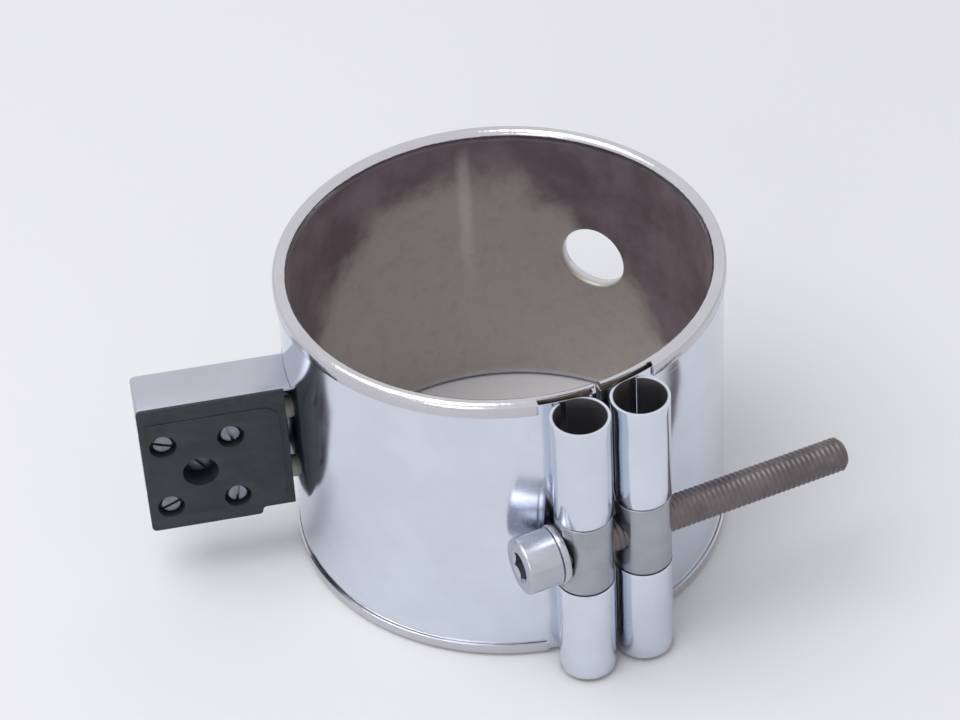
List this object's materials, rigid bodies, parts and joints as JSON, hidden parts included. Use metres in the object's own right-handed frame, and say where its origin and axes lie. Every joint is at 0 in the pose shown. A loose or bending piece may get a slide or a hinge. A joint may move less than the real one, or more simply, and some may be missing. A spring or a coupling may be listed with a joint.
{
  "type": "band heater",
  "caption": "Split stainless band heater for a round barrel, closed by a cap screw through two barrels, with a probe hole and a side terminal box.",
  "frame": {"origin": "middle of the band's bore, on its axis, halfway between the rims", "axes": "+Z along the bore; the split, its two knuckles and the clamp screw face -Y, and the screw lies along X with its head towards -X"},
  "size_m": [0.1414, 0.1131, 0.075],
  "materials": {
    "bore_steel": "rolled stainless sheet, darkened by heat inside",
    "polished_steel": "mirror polished stainless sheet",
    "box_steel": "bright folded stainless sheet",
    "mica": "pressed mica sheet",
    "ribbon_alloy": "oxidised resistance ribbon",
    "nickel": "bare nickel strip",
    "turned_steel": "turned steel, greyer than the strap",
    "screw_steel": "bright machined steel",
    "black_moulding": "black heat-proof moulding",
    "brass": "plain brass",
    "plated_steel": "plated steel",
    "ceramic": "unglazed white ceramic"
  },
  "bodies": {
    "band": {"inner_sheath": "bore_steel", "clamp_strap": "polished_steel", "box_shell": "box_steel", "inner_mica": "mica", "outer_mica": "mica", "mica_core": "mica", "heating_ribbon": "ribbon_alloy", "upper_lead": "nickel", "lower_lead": "nickel", "terminal_block": "black_moulding", "upper_connector": "brass", "lower_connector": "brass", "connector_screws": "plated_steel", "block_screw": "plated_steel", "block_nut": "plated_steel", "upper_bush": "ceramic", "lower_bush": "ceramic"},
    "plain_barrel": {"plain_barrel": "turned_steel"},
    "threaded_barrel": {"threaded_barrel": "turned_steel"},
    "washer": {"screw_washer": "screw_steel"},
    "screw": {"clamp_screw": "screw_steel"}
  },
  "joints": [
    {"name": "threaded_barrel_swivel", "type": "hinge", "parent": "band", "child": "threaded_barrel", "pos_m": [0.0071, -0.05555, -0.0008], "axis": [0, 0, 1], "range_deg": [-0.7, 0.7]},
    {"name": "plain_barrel_swivel", "type": "hinge", "parent": "band", "child": "plain_barrel", "pos_m": [-0.0071, -0.05555, -0.0008], "axis": [0, 0, 1], "range_deg": [-0.7, 0.7]},
    {"name": "screw_withdraw", "type": "slide", "parent": "threaded_barrel", "child": "washer", "axis": [-1, 0, 0], "range_m": [0, 0.056]},
    {"name": "screw_turn", "type": "hinge", "parent": "washer", "child": "screw", "pos_m": [-0.01484, -0.05555, -0.0008], "axis": [-1, 0, 0], "range_deg": [-288, 20160]}
  ],
  "couplings": [
    {"joint": "plain_barrel_swivel", "follows": "threaded_barrel_swivel", "ratio": 1},
    {"joint": "screw_turn", "follows": "screw_withdraw", "rad_per_m": 5026.5}
  ]
}
